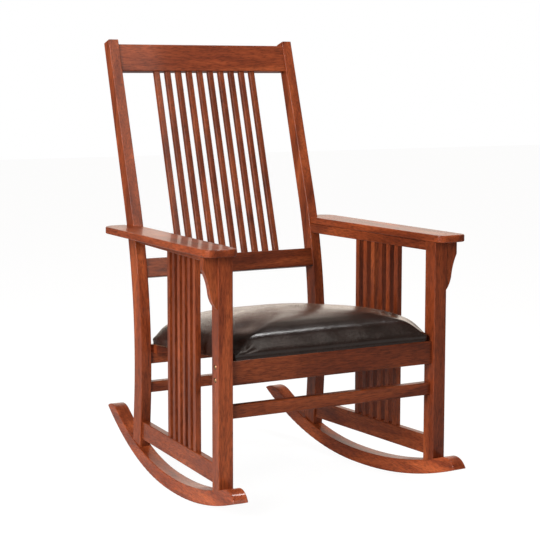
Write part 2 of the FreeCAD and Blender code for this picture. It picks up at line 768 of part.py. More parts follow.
def side_dowels(side, hand):
    """The dowels of one side frame and of the front stretcher's end, as name: (dowel, hole)."""
    turn = value("side_turn") * hand
    along = FreeCAD.Rotation(FreeCAD.Vector(0, 0, 1), turn).multVec(FreeCAD.Vector(-1, 0, 0))
    pairs = {}
    for index in (-1, 1):
        high = f"side_rail_low + side_rail_high / 2 + dowel_apart * {index} / 2"
        for end, back in (("Front", "front_post_deep"), ("Back", "low_post_front / cos(side_turn)")):
            x, y = side_point(hand, "-post_middle", back)
            pairs[f"rail {end} {index}"] = dowel_pair(f"Dowel{side}{end}{index + 1}", x, y, high,
                                                      along, QUARTER)
    for end, back in (("Front", "front_post_deep"), ("Back", "arm_post_front / cos(side_turn)")):
        x, y = side_point(hand, "-post_middle", back)
        pairs[f"arm rail {end}"] = dowel_pair(f"ArmRailDowel{side}{end}", x, y,
                                              "arm_under - arm_rail_high / 2", along, QUARTER)
    x, y = side_point(hand, "-post_middle", "front_post_deep / 3")
    pairs["post top"] = dowel_pair("PostTopDowel" + side, x, y, "arm_under - dowel_long / 6")
    pairs["arm back"] = dowel_pair("ArmBackDowel" + side, f"{hand} * arm_notch", "arm_post_middle",
                                   "arm_under + arm_thick / 2", (0, 1, 0), QUARTER)
    pairs["stretcher"] = dowel_pair("StretcherDowel" + side, f"{hand} * stretcher_end", "stretcher_middle",
                                    "front_stretcher_low + front_stretcher_high / 2", (0, 1, 0), QUARTER)
    return pairs


def side_bolts(side, hand):
    """The two frame bolts of one front post, their barrel nuts, and the room for both."""
    bolts, nuts, bolt_holes, nut_holes = [], [], [], []
    turn = f"{-hand} * {QUARTER}"
    for index in (-1, 1):
        x = f"{hand} * (bolt_seat + bolt_head_high)"
        z = f"bolt_middle + bolt_apart * {index} / 2"
        name = f"Bolt{side}{index + 1}"
        bolt = spun(name, [("bolt_head_radius", "bolt_head_high"), ("bolt_radius", "bolt_long")], domed=True)
        hole = spun(name + "Hole", [("bolt_head_radius + hole_slack", "bolt_head_high"),
                                    ("bolt_radius + hole_slack", "bolt_long + hole_slack")])
        bolts.append(place(bolt, x, "bolt_line", z, (0, 1, 0), turn))
        bolt_holes.append(place(hole, x, "bolt_line", z, (0, 1, 0), turn))
        mouth = "front_rail_recess + front_rail_thick"
        nut = spun(name + "Nut", [("nut_radius", "nut_long")])
        room = spun(name + "NutRoom", [("nut_radius + hole_slack", "nut_long + hole_slack")])
        place(nut, f"{hand} * nut_line", mouth, z, (1, 0, 0), QUARTER)
        nut_holes.append(place(room, f"{hand} * nut_line", mouth, z, (1, 0, 0), QUARTER))
        nuts.append(cut(name + "NutBored", nut, [bolt_holes[-1]]))
    return bolts, nuts, bolt_holes, nut_holes


def foot_screws(side, hand):
    """The screws up through one rocker: one into the front post and one into the rear post."""
    front_x, front_y = side_point(hand, "-post_middle", "foot_screw_back")
    rear_x = f"{hand} * (rear_gap + rear_post_wide) / 2"
    places = (
        ("Front", front_x, front_y, front_under("foot_screw_back") + " + foot_screw_sink"),
        ("Rear", rear_x, "rear_foot_middle", back_under("rear_foot_middle") + " + foot_screw_sink"),
    )
    sizes = ("screw_head_radius", "screw_head_high", "foot_screw_radius", "foot_screw_long")
    screws, holes = [], []
    for end, x, y, z in places:
        name = f"FootScrew{side}{end}"
        screws.append(place(screw(name, *sizes), x, y, z))
        holes.append(place(screw_hole(name + "Hole", *sizes, sink="2 * foot_screw_sink"), x, y, z))
    return screws, holes


def small_screws(name, places):
    """Short screws that point up, each with its head flush at its place."""
    sizes = ("arm_screw_head", "screw_head_high", "arm_screw_radius")
    screws, holes = [], []
    for index, (x, y, z, long) in enumerate(places, start=1):
        screws.append(place(screw(f"{name}{index}", *sizes, long), x, y, z))
        holes.append(place(screw_hole(f"{name}{index}Hole", *sizes, long), x, y, z))
    return screws, holes


def build():
    above_seat = make_above_seat()
    back_slats = make_back_slats()
    crest = on_back(cross_rail("CrestBlank", "0", "back_run_up", "back_rail_thick", "crest_high"))
    low_rail = on_back(cross_rail("LowBackBlank", "0", "0", "back_rail_thick", "low_rail_high"))
    rear_rail = square_on(cross_rail("RearRailBlank", "rear_rail_front + rear_rail_thick / 2",
                                     "seat_back_high - rear_rail_high / 2",
                                     "rear_rail_thick", "rear_rail_high"))
    rear_stretcher = square_on(cross_rail(
        "RearStretcher", "rear_post_front + rear_stretcher_recess + rear_stretcher_thick / 2",
        "rear_stretcher_low + rear_stretcher_high / 2", "rear_stretcher_thick", "rear_stretcher_high"))
    front_rail = front_bar("FrontRailBlank", "bolt_line", "seat_front_high - front_rail_high",
                           "front_rail_high", "front_rail_thick")
    front_stretcher = front_bar("FrontStretcherBlank", "stretcher_middle", "front_stretcher_low",
                                "front_stretcher_high", "front_stretcher_thick")
    keep("crest_rail", cut("CrestRail", crest, back_slats))
    keep("lower_back_rail", cut("LowerBackRail", low_rail, back_slats))
    keep("rear_seat_rail", cut("RearSeatRail", rear_rail, [above_seat]))
    keep("rear_stretcher", rear_stretcher)

    bolts, nuts, bolt_holes, nut_holes, screws_up, dowels = [], [], [], [], [], []
    arm_screws, front_posts, stretcher_holes = [], [], []
    for side, hand in SIDES:
        rocker = make_rocker(side, hand)
        front_post = make_front_post(side, hand)
        rear_post = make_rear_post(side, hand)
        front_posts.append(front_post)
        slats = make_side_slats(side, hand)
        pairs = side_dowels(side, hand)
        dowels += [pin for pin, hole in pairs.values()]
        holes = {name: hole for name, (pin, hole) in pairs.items()}
        stretcher_holes.append(holes["stretcher"])
        rail_front = [holes["rail Front -1"], holes["rail Front 1"]]
        rail_back = [holes["rail Back -1"], holes["rail Back 1"]]
        side_rail = side_bar("SideRailBlank" + side, hand, "side_rail_low", "side_rail_high",
                             "side_rail_thick", "low_post_front + rear_post_deep / 2")
        keep(f"side_rail_{side}", cut("SideRail" + side, side_rail, [
            together("SideRailSlats" + side, slats), rear_post,
        ] + rail_front + rail_back))
        x_front, y_front = side_point(hand, "-post_middle", "arm_screw_front")
        x_back, y_back = side_point(hand, "-post_middle", "arm_screw_back")
        small, small_holes = small_screws("ArmScrew" + side, [
            (x_front, y_front, "arm_rail_low", "arm_screw_long"),
            (x_back, y_back, "arm_rail_low", "arm_screw_long"),
        ])
        arm_screws += small
        arm_rail = side_bar("ArmRailBlank" + side, hand, "arm_rail_low", "arm_rail_high",
                            "arm_rail_thick", "arm_post_middle")
        keep(f"arm_rail_{side}", cut("ArmRail" + side, arm_rail,
                                     [together("ArmRailSlats" + side, slats), rear_post,
                                      holes["arm rail Front"], holes["arm rail Back"]] + small_holes))
        arm = make_arm(side, hand)
        keep(f"arm_{side}", cut("ArmFitted" + side, arm,
                                [rear_post, holes["post top"], holes["arm back"]] + small_holes))
        keep(f"corbel_{side}", make_corbel(side, hand))
        side_screws, screw_holes = foot_screws(side, hand)
        screws_up += side_screws
        keep(f"rocker_{side}", cut("RockerFitted" + side, rocker, screw_holes))
        new_bolts, new_nuts, new_bolt_holes, new_nut_holes = side_bolts(side, hand)
        bolts += new_bolts
        nuts += new_nuts
        bolt_holes += new_bolt_holes
        nut_holes += new_nut_holes
        keep(f"front_post_{side}", cut("FrontPostFitted" + side, front_post, [
            rocker, screw_holes[0], holes["post top"], holes["arm rail Front"], holes["stretcher"],
        ] + rail_front + new_bolt_holes))
        keep(f"rear_post_{side}", cut("RearPostFitted" + side, rear_post, [
            rocker, crest, low_rail, rear_rail, rear_stretcher, screw_holes[1],
            holes["arm rail Back"], holes["arm back"],
        ] + rail_back))

    keep("front_seat_rail", cut("FrontSeatRail", front_rail,
                                [above_seat] + front_posts + bolt_holes + nut_holes))
    keep("front_stretcher", cut("FrontStretcher", front_stretcher, front_posts + stretcher_holes))
    places = []
    for line, top in (("front_cleat_line", "seat_front_high"), ("rear_cleat_line", "rear_cleat_top")):
        for index in (-1, 0, 1):
            places.append((f"seat_screw_apart * {index}", line, f"{top} - cleat_high", "seat_screw_long"))
    seat_screws, seat_holes = small_screws("SeatScrew", places)
    front_cleat = make_cleat("FrontCleatBlank", "front_cleat_line", "seat_front_high")
    rear_cleat = make_cleat("RearCleatBlank", "rear_cleat_line", "rear_cleat_top")
    keep("front_seat_cleat", cut("FrontCleat", front_cleat, [above_seat] + seat_holes[:3]))
    keep("rear_seat_cleat", cut("RearCleat", rear_cleat, [above_seat] + seat_holes[3:]))
    board = make_seat()
    keep("seat_board", cut("SeatBoardBored", board, seat_holes))
    keep("frame_bolts", together("FrameBolts", bolts))
    keep("barrel_nuts", together("BarrelNuts", nuts))
    keep("frame_dowels", together("FrameDowels", dowels))
    keep("rocker_screws", together("RockerScrews", screws_up))
    keep("arm_screws", together("ArmScrews", arm_screws))
    keep("seat_screws", together("SeatScrews", seat_screws))


def check():
    """Stops if any object failed, or if a sub-part has no sound shape."""
    doc.recompute()
    for item in doc.Objects:
        if "Invalid" in item.State or "Error" in item.State:
            raise RuntimeError(f"{item.Name} failed: {item.State}")
    for label, item in PARTS.items():
        if item.Shape.isNull() or not item.Shape.isValid() or not item.Shape.Solids:
            raise RuntimeError(f"{label} has no sound shape")


build()
check()
os.makedirs("parts", exist_ok=True)
for label, item in PARTS.items():
    item.Shape.exportStep(f"parts/{label}.step")
print(len(PARTS), "sub-parts written")
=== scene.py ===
# %% [markdown]
# # A slatted rocking chair with a leather seat
#
# This lesson dresses a rocking chair whose parts already exist as exact solids. The solids come in
# as a fixed frame: every post, rail, slat and rocker is where the joiner put it, in metres, with
# the floor at zero and the chair's middle about over the origin. What is left to do here is what
# the eye judges: the stained and lacquered wood, the leather cushion, the metal and the light.

# %% Load the frame
import math

import bpy
import numpy as np
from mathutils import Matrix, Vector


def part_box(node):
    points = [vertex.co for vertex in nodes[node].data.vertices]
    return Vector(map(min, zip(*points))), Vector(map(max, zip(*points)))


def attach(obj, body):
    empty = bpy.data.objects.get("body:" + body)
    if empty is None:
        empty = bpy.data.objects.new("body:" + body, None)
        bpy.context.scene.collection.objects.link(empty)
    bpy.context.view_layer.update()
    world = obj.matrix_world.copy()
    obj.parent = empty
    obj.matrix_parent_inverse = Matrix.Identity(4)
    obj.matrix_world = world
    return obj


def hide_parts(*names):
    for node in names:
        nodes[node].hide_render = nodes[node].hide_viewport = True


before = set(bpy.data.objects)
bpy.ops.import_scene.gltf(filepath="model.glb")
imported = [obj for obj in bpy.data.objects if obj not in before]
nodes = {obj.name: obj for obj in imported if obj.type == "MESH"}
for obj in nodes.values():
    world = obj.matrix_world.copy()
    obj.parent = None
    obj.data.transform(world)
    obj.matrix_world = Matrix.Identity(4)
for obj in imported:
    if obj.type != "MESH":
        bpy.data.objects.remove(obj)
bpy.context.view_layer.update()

# %% [markdown]
# ## The camera
#
# The chair is seen from the front and from the left, from above its arms and below the top of its
# back. A camera that is tilted down makes upright posts lean together a little. Sliding the lens
# down instead keeps them upright, but then the chair leaves the frame when the camera walks round
# it. So the camera is tilted, with a long lens nearly four metres away, and the lens slides only
# a little.

# %% Place the camera
VIEW_FROM = (-1.8243, -3.2504, 1.0052)
VIEW_TURN = -28.835
VIEW_TILT = 83.623
LENS = 99.76
LENS_SLIDE = (0.0271, -0.05)

camera_data = bpy.data.cameras.new("camera")
camera_data.lens = LENS
camera_data.sensor_width = 36
camera_data.shift_x, camera_data.shift_y = LENS_SLIDE
camera = bpy.data.objects.new("camera", camera_data)
camera.location = VIEW_FROM
camera.rotation_euler = (math.radians(VIEW_TILT), 0, math.radians(VIEW_TURN))
bpy.context.scene.collection.objects.link(camera)
bpy.context.scene.camera = camera
print("camera at", VIEW_FROM, "lens", LENS, "mm")

# %% [markdown]
# ## A few words for writing materials
#
# A material is a small graph of nodes. Writing each link out in full hides what the graph means,
# so each helper here makes a node and sets its inputs in one line. A value that is the same all
# over goes straight on the shader; only what varies is linked.

# %% Helpers for material graphs
def add(tree, kind, **inputs):
    """A new node of a kind. Each named input gets a value or a link from another node's output."""
    node = tree.nodes.new(kind)
    for name, given in inputs.items():
        socket = name.replace("_", " ")
        if isinstance(given, bpy.types.NodeSocket):
            tree.links.new(given, node.inputs[socket])
        else:
            node.inputs[socket].default_value = given
    return node


def ramp(tree, factor, stops):
    """A colour ramp: each stop is (place from 0 to 1, colour), and colours blend between stops."""
    node = add(tree, "ShaderNodeValToRGB", Fac=factor)
    band = node.color_ramp
    while len(band.elements) < len(stops):
        band.elements.new(0.5)
    for element, (place, colour) in zip(band.elements, stops):
        element.position = place
        element.color = (*colour, 1)
    return node.outputs["Color"]


def grey(level):
    """A colour with no hue. As a ramp's stop it is also how a plain number is written."""
    return (level, level, level)


def blend(tree, factor, first, second, how="MIX"):
    """Two colours mixed by a factor, or multiplied. Each one is a value or a node's output."""
    node = tree.nodes.new("ShaderNodeMix")
    node.data_type = "RGBA"
    node.blend_type = how
    for socket, given in (("Factor_Float", factor), ("A_Color", first), ("B_Color", second)):
        plug = next(s for s in node.inputs if s.identifier == socket)
        if isinstance(given, bpy.types.NodeSocket):
            tree.links.new(given, plug)
        else:
            plug.default_value = given if isinstance(given, (int, float)) else (*given, 1)
    return next(s for s in node.outputs if s.identifier == "Result_Color")


def fresh_material(name):
    """A new material with its shader, and the object's own coordinates to draw patterns on."""
    material = bpy.data.materials.new(name)
    material.use_nodes = True
    tree = material.node_tree
    shader = tree.nodes["Principled BSDF"]
    place = tree.nodes.new("ShaderNodeTexCoord").outputs["Object"]
    return material, tree, shader, place


def stretched(tree, place, scale, shift=(0, 0, 0), turn=(0, 0, 0)):
    """Coordinates scaled, moved and turned, so that one pattern looks different on each board."""
    node = add(tree, "ShaderNodeMapping", Vector=place, Location=shift, Rotation=turn, Scale=scale)
    return node.outputs["Vector"]


def speckle(tree, place, scale, detail=4.0, rough=0.55, warp=0.0):
    """Cloudy noise from 0 to 1."""
    node = add(tree, "ShaderNodeTexNoise", Vector=place, Scale=scale, Detail=detail,
               Roughness=rough, Distortion=warp)
    return node.outputs["Fac"]


def bumps(tree, height, strength, distance, onto=None):
    """Turns a height pattern into small bumps on the surface, on top of other bumps if given."""
    node = add(tree, "ShaderNodeBump", Height=height, Strength=strength, Distance=distance)
    if onto is not None:
        tree.links.new(onto, node.inputs["Normal"])
    return node.outputs["Normal"]


# %% [markdown]
# ## Stained wood
#
# The chair is a plain hardwood wiped with a reddish brown stain under a thin clear lacquer. The
# stain sinks deeper into the open pores and the soft bands, so the grain shows as dark threads in
# a warm ground. Noise stretched along a board gives the bands, a finer noise gives the threads and
# the finest gives the pores. Each board is cut from another part of the tree, so the pattern is
# shifted from board to board.

# %% The wood finish
WOOD_DARK = (0.096, 0.0164, 0.0050)
WOOD_MIDDLE = (0.182, 0.0350, 0.0100)
WOOD_LIGHT = (0.295, 0.065, 0.0185)
# The patterns are squeezed 9 times across the grain, and the pores 4.2 times more.
ALONG_GRAIN = {"x": (1, 9, 9), "y": (9, 1, 9), "z": (9, 9, 1)}
PORE_SQUEEZE = 4.2


def stained_wood(name, along, board, tone):
    """Wood whose grain runs along one axis. board numbers the board, and tone makes it paler. The
    tone is partly the board's own stain and partly painted shade and light.
    """
    material, tree, shader, place = fresh_material(name)
    luck = np.random.default_rng(1000 + board)
    shift = tuple(luck.uniform(-3, 3, 3))
    turn = tuple(luck.uniform(-0.03, 0.03, 3))
    spot = stretched(tree, place, ALONG_GRAIN[along], shift, turn)
    bands = speckle(tree, spot, 3.2, 3.0, 0.5, 0.6)
    threads = speckle(tree, spot, 52.0, 5.0, 0.62, 0.15)
    pore_scale = tuple(s * (1 if s == 1 else PORE_SQUEEZE) for s in ALONG_GRAIN[along])
    pores = speckle(tree, stretched(tree, place, pore_scale, shift, turn), 40.0, 2.0, 0.5)
    clouds = speckle(tree, place, 9.0, 2.0, 0.5)
    ground = ramp(tree, bands, [(0.28, WOOD_DARK), (0.5, WOOD_MIDDLE), (0.74, WOOD_LIGHT)])
    thread_tone = ramp(tree, threads, [(0.37, grey(0.54)), (0.52, grey(1.0)), (0.67, grey(1.24))])
    pore_tone = ramp(tree, pores, [(0.29, grey(0.5)), (0.38, grey(1.0))])
    # The board's cloudy tone times its tone, which paints shade and light as well as the stain.
    cloud_tone_and_shade = ramp(tree, clouds, [(0.3, grey(0.86 * tone)), (0.7, grey(1.1 * tone))])
    roughness = ramp(tree, clouds, [(0.3, grey(0.38)), (0.7, grey(0.46))])
    colour = blend(tree, 1.0, ground, thread_tone, "MULTIPLY")
    colour = blend(tree, 0.8, colour, pore_tone, "MULTIPLY")
    colour = blend(tree, 1.0, colour, cloud_tone_and_shade, "MULTIPLY")
    tree.links.new(colour, shader.inputs["Base Color"])
    tree.links.new(roughness, shader.inputs["Roughness"])
    shader.inputs["Specular IOR Level"].default_value = 0.12
    shader.inputs["Coat Weight"].default_value = 0.22
    shader.inputs["Coat Roughness"].default_value = 0.08
    tree.links.new(bumps(tree, pore_tone, 0.12, 0.0006, bumps(tree, thread_tone, 0.08, 0.0008)),
                   shader.inputs["Normal"])
    return material


def dress(node, material):
    """Puts one material on every face of a solid."""
    mesh = nodes[node].data
    mesh.materials.clear()
    mesh.materials.append(material)
    mesh.polygons.foreach_set("material_index", np.zeros(len(mesh.polygons), np.int32))


# %% [markdown]
# ## Every board gets its own piece of the tree
#
# Posts, slats and corbels stand, so their grain stands too. Rails and stretchers run across the
# chair, while arms, rockers and side rails run front to back. Each board's tone is partly its
# own stain and partly painted shade and light: boards that stand in shade are darkened, and
# boards in the light are paled. Here the front rail and stretcher are the darkest, and the arms
# and rockers the palest. A board that isn't named in the table of tones has the tone 1, and
# chance moves every tone a little.

# %% Dress the wooden parts
GRAIN_OF = {
    "z": ["rear_post", "front_post", "back_slat", "side_slat", "corbel"],
    "x": ["crest_rail", "lower_back_rail", "rear_seat_rail", "rear_stretcher", "front_seat_rail",
          "front_stretcher", "front_seat_cleat", "rear_seat_cleat"],
    "y": ["arm_left", "arm_right", "arm_rail", "side_rail", "rocker_left", "rocker_right"],
}
# Tones per board: partly the board's own stain, partly painted shade and light, so boards in
# shadow are darker.
BOARD_TONE_AND_SHADE = {
    "front_seat_rail": 0.70, "front_stretcher": 0.74, "lower_back_rail": 0.86, "back_slat": 0.84,
    "front_post_left": 1.02, "front_post_right": 0.96, "rear_post": 1.08, "crest_rail": 1.06,
    "corbel_left": 0.86, "corbel_right": 1.05, "side_slat_right": 1.10, "rocker_left": 1.42,
    "rocker_right": 1.42, "arm_left": 1.22, "arm_right": 1.22,
}
wooden = []
for axis, families in GRAIN_OF.items():
    for node in sorted(nodes):
        if node.startswith(tuple(families)):
            wooden.append((node, axis))
for board, (node, axis) in enumerate(wooden):
    tone = 0.94 + 0.12 * float(np.random.default_rng(board).random())
    # The table's tone, partly painted shade and light, scales the board's random tone.
    tone *= next((own for start, own in BOARD_TONE_AND_SHADE.items() if node.startswith(start)), 1.0)
    dress(node, stained_wood("wood_" + node, axis, board, tone))
print("wooden parts dressed:", len(wooden))

# %% [markdown]
# ## Putting surfaces into Blender
#
# New shapes here are arrays of points and faces. These helpers hand them to Blender and read them
# back, so that a shape can be worked on as one array.

# %% Helpers that put a surface into Blender
def mesh_object(name, points, faces, smooth=True):
    """A mesh object from an array of points and a list of faces, linked to the scene.

    A face lists its points so that they run anticlockwise as seen from outside.
    """
    mesh = bpy.data.meshes.new(name)
    mesh.from_pydata(points.tolist(), [], faces)
    mesh.update()
    mesh.polygons.foreach_set("use_smooth", np.full(len(mesh.polygons), smooth))
    piece = bpy.data.objects.new(name, mesh)
    bpy.context.scene.collection.objects.link(piece)
    return piece


def corners_of(piece):
    """The mesh's points as an array of rows."""
    flat = np.empty(len(piece.data.vertices) * 3)
    piece.data.vertices.foreach_get("co", flat)
    return flat.reshape(-1, 3)


def put_corners(piece, points):
    """Moves the mesh's points to the rows of an array."""
    piece.data.vertices.foreach_set("co", np.ascontiguousarray(points).ravel())
    piece.data.update()


# %% [markdown]
# ## The side slats
#
# In the solids the side slats have rounded edges. Seen at a slant, such edges let slits of light
# through and crisp ones don't, and the real chair shows no slits. Each side slat is therefore
# drawn again in its own place and at the solid's own width, depth and length: a rectangle with
# tiny round corners carried straight up, with a stub tenon at each end.

# %% Draw the side slats
SIDE_TURN = math.radians(3.83)
SLAT_ALONG, SLAT_ACROSS, SLAT_EDGE = 0.015, 0.014, 0.0006
TENON, TENON_THICK = 0.009, 0.008
ARC_POINTS = 5


def slat_surface(middle, low, high, turn):
    """A slat and its stub tenons: rounded rectangles at six heights, turned about Z.

    A rectangle's corner is a quarter circle of radius SLAT_EDGE about each inner corner point. The
    two lowest and two highest rectangles are the tenons', and each shoulder lies where a tenon's
    rectangle and the body's have the same height.
    """
    quarters = [np.linspace(a, a + 90, ARC_POINTS) for a in (0, 90, 180, 270)]
    angles = np.radians(np.concatenate(quarters))
    corner = np.repeat([(1, 1), (-1, 1), (-1, -1), (1, -1)], ARC_POINTS, axis=0)
    arc = SLAT_EDGE * np.column_stack([np.cos(angles), np.sin(angles)])
    body = corner * (np.array([SLAT_ACROSS, SLAT_ALONG]) / 2 - SLAT_EDGE) + arc
    tenon = corner * (TENON_THICK / 2 - SLAT_EDGE) + arc
    spin = np.array([[math.cos(turn), math.sin(turn)], [-math.sin(turn), math.cos(turn)]])
    flat = np.vstack([tenon, tenon, body, body, tenon, tenon]) @ spin + middle
    heights = np.array([low, low + TENON, low + TENON, high - TENON, high - TENON, high])
    points = np.column_stack([flat, np.repeat(heights, len(arc))])
    grid = np.arange(len(points)).reshape(len(heights), -1)
    right = np.roll(grid, -1, axis=1)
    walls = np.stack([grid[:-1], right[:-1], right[1:], grid[1:]], axis=-1).reshape(-1, 4)
    return points, walls.tolist() + [grid[0][::-1].tolist(), grid[-1].tolist()]


slats = [node for node in sorted(nodes) if node.startswith("side_slat_")]
for board, node in enumerate(slats):
    low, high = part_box(node)
    hand = 1 if "right" in node else -1
    middle = ((low.x + high.x) / 2, (low.y + high.y) / 2)
    points, faces = slat_surface(middle, low.z, high.z, SIDE_TURN * hand)
    slat = mesh_object("crisp_" + node, points, faces, smooth=False)
    slat.data.materials.append(nodes[node].data.materials[0])
    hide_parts(node)
    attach(slat, "root")
print("side slats drawn:", len(slats))

# %% [markdown]
# ## What holds the chair together
#
# Bolt heads on the front posts are bronzed steel, with the plating rubbed thin in cloudy patches.
# Inside the joints and under the seat are zinc nuts and screws, pale raw dowels, a plywood board
# and a black woven dust cover. Few people look there, but some of it is seen when the chair is
# turned over.

# %% Metals
def bronzed_steel():
    """Brown-plated steel, with the plating rubbed thin in cloudy patches."""
    material, tree, shader, place = fresh_material("bronzed_steel")
    rubbed = speckle(tree, place, 420.0, 3.0, 0.6)
    tree.links.new(ramp(tree, rubbed, [(0.35, (0.13, 0.062, 0.028)), (0.65, (0.30, 0.17, 0.09))]),
                   shader.inputs["Base Color"])
    tree.links.new(ramp(tree, rubbed, [(0.3, grey(0.5)), (0.7, grey(0.36))]),
                   shader.inputs["Roughness"])
    shader.inputs["Metallic"].default_value = 1.0
    tree.links.new(bumps(tree, rubbed, 0.15, 0.0002), shader.inputs["Normal"])
    return material


def zinc_steel():
    """Zinc-plated steel, with the faint crystal spangle of the plating."""
    material, tree, shader, place = fresh_material("zinc_steel")
    spangle = add(tree, "ShaderNodeTexVoronoi", Vector=place, Scale=900.0).outputs["Color"]
    tone = blend(tree, 0.12, (0.56, 0.57, 0.58), spangle)
    tree.links.new(tone, shader.inputs["Base Color"])
    smudge = speckle(tree, place, 240.0)
    tree.links.new(ramp(tree, smudge, [(0.3, grey(0.3)), (0.7, grey(0.48))]),
                   shader.inputs["Roughness"])
    shader.inputs["Metallic"].default_value = 1.0
    tree.links.new(bumps(tree, smudge, 0.1, 0.0002), shader.inputs["Normal"])
    return material


# %% Raw wood and cloth
def pale_wood(name, along, ground, line):
    """Bare wood with no stain: a pale ground with soft darker lines."""
    material, tree, shader, place = fresh_material(name)
    lines = speckle(tree, stretched(tree, place, ALONG_GRAIN[along]), 22.0, 5.0, 0.6, 0.2)
    tree.links.new(ramp(tree, lines, [(0.35, line), (0.6, ground)]), shader.inputs["Base Color"])
    tree.links.new(ramp(tree, lines, [(0.3, grey(0.75)), (0.7, grey(0.6))]),
                   shader.inputs["Roughness"])
    tree.links.new(bumps(tree, lines, 0.15, 0.0005), shader.inputs["Normal"])
    return material


# A wave texture with this scale has ridges one metre apart.
RIDGES_A_METRE_APART = 0.314


def woven_cloth(name, dark, pale, thread):
    """Plain weave: two sets of fine ridges at right angles, thread metres apart."""
    material, tree, shader, place = fresh_material(name)
    ridges = []
    for direction in ("X", "Y"):
        wave = add(tree, "ShaderNodeTexWave", Vector=place, Scale=RIDGES_A_METRE_APART / thread,
                   Distortion=0.4, Detail=1.0)
        wave.bands_direction = direction
        ridges.append(wave.outputs["Color"])
    weave = blend(tree, 0.5, ridges[0], ridges[1])
    tree.links.new(ramp(tree, weave, [(0.2, dark), (0.8, pale)]), shader.inputs["Base Color"])
    tree.links.new(ramp(tree, weave, [(0.2, grey(0.95)), (0.8, grey(0.8))]),
                   shader.inputs["Roughness"])
    tree.links.new(bumps(tree, weave, 0.5, thread / 3), shader.inputs["Normal"])
    return material


dress("frame_bolts", bronzed_steel())
steel = zinc_steel()
for node in ("barrel_nuts", "rocker_screws", "arm_screws", "seat_screws"):
    dress(node, steel)
dress("frame_dowels", pale_wood("dowel_wood", "y", (0.6, 0.42, 0.24), (0.42, 0.27, 0.14)))
dress("seat_board", pale_wood("plywood", "x", (0.42, 0.27, 0.14), (0.28, 0.16, 0.08)))
dress("dust_cover", woven_cloth("cambric", (0.006, 0.006, 0.006), (0.03, 0.03, 0.03), 0.0012))
dress("seat_foam", woven_cloth("seat_foam", (0.62, 0.56, 0.38), (0.74, 0.68, 0.48), 0.002))
print("fittings dressed")

# %% [markdown]
# ## The cushion
#
# The seat is foam on a board, under one piece of bonded leather that is drawn down and stapled out
# of sight. Its sides bulge a little over the rail, its edge rolls over, and the top is a shallow
# crown. A box with round corners would look hard, so the form is worked out ring by ring: a
# rounded outline that shrinks and grows as it climbs. The corners are rounder near the top, where
# the leather is pulled in from two sides.

# %% The cushion's sizes
# The seat starts at the front rail, which lies a little behind the front faces of the posts.
POSTS_FRONT = -0.33125
RAIL_RECESS = 0.007
SEAT_FRONT_HIGH = 0.367
SEAT_DROP, SEAT_RUN = 0.043, 0.497
SEAT_FALL = math.atan2(SEAT_DROP, SEAT_RUN)
# The cushion, from the seat's front edge: how far it leads, half its widths, depth and heights.
CUSHION_LEAD = 0.002
FRONT_HALF = 0.270
BACK_HALF = 0.2395
DEEP = 0.514
HIGH = 0.085
BOARD = 0.008
CROWN_RISE = 0.0025
CORNER = 0.040
CROWN_RUN = 0.190
# The side from its foot up: (height, inset, corner) as shares of HIGH, CROWN_RUN and CORNER.
SIDE_SHARES = np.array([
    (0.00, 0.020, 0.25), (0.10, 0.006, 0.27), (0.22, 0.000, 0.36), (0.38, 0.006, 0.62),
    (0.50, 0.026, 0.95), (0.60, 0.062, 1.30), (0.69, 0.135, 1.70), (0.77, 0.260, 2.10),
    (0.86, 0.430, 2.30), (0.94, 0.660, 2.20), (1.00, 1.000, 0.95),
])
# The foot, where the leather turns beside the board's lower edge: (inset, height) in metres.
FOOT_TURN = [(0.0047, BOARD - 0.0002), (0.0047, 0.0006), (0.0043, 0.0003), (0.0039, 0.0006),
             (0.0037, 0.0030), (0.0037, 0.0060)]
UNDER_INSET, UNDER_HIGH = 0.0075, BOARD + 0.0002
print("cushion", 2 * FRONT_HALF, "m wide in front,", DEEP, "m deep")


# %% From the seat to the chair
def on_seat(points):
    """Seat coordinates to chair coordinates: tipped back by the seat's fall, set on the rail."""
    x, y, z = points.T
    turn = -SEAT_FALL
    return np.column_stack([
        x,
        POSTS_FRONT + RAIL_RECESS + y * math.cos(turn) - z * math.sin(turn),
        SEAT_FRONT_HIGH + y * math.sin(turn) + z * math.cos(turn),
    ])


# %% The rings of the cushion
ARC_SHARE = 0.3
SOFTEN = 22
CORNER_CUT, CORNER_REACH = 0.5, 0.036


def cushion_ring(turns, inset, corner):
    """One ring of the cushion, seen from above, at the given turns round it (0 to 1).

    The ring is the seat's tapered rectangle drawn in by inset, with each corner cut by an arc of
    radius corner. A point is found by walking round: each quarter of the way starts with an arc,
    for ARC_SHARE of it, and goes on along the straight edge to the next arc.
    """
    taper = (FRONT_HALF - BACK_HALF) / DEEP
    near, far = -CUSHION_LEAD + inset, DEEP - CUSHION_LEAD - inset
    half_near = FRONT_HALF - inset - taper * inset
    half_far = BACK_HALF - inset + taper * inset
    square = np.array([(-half_near, near), (half_near, near), (half_far, far), (-half_far, far)])
    into = np.array([(1, 1), (-1, 1), (-1, -1), (1, -1)]) * corner
    centres = square + into
    start = np.radians([180.0, 270.0, 0.0, 90.0])
    walk = turns * 4
    side = np.floor(walk).astype(int) % 4
    share = walk - np.floor(walk)
    arc_share = np.clip(share / ARC_SHARE, 0, 1)
    edge_share = np.clip((share - ARC_SHARE) / (1 - ARC_SHARE), 0, 1)
    angle = start[side] + arc_share * math.pi / 2
    on_arc = centres[side] + corner * np.column_stack([np.cos(angle), np.sin(angle)])
    after = (side + 1) % 4
    next_way = np.column_stack([np.cos(start[after]), np.sin(start[after])])
    next_start = centres[after] + corner * next_way
    return on_arc + edge_share[:, None] * (next_start - on_arc)


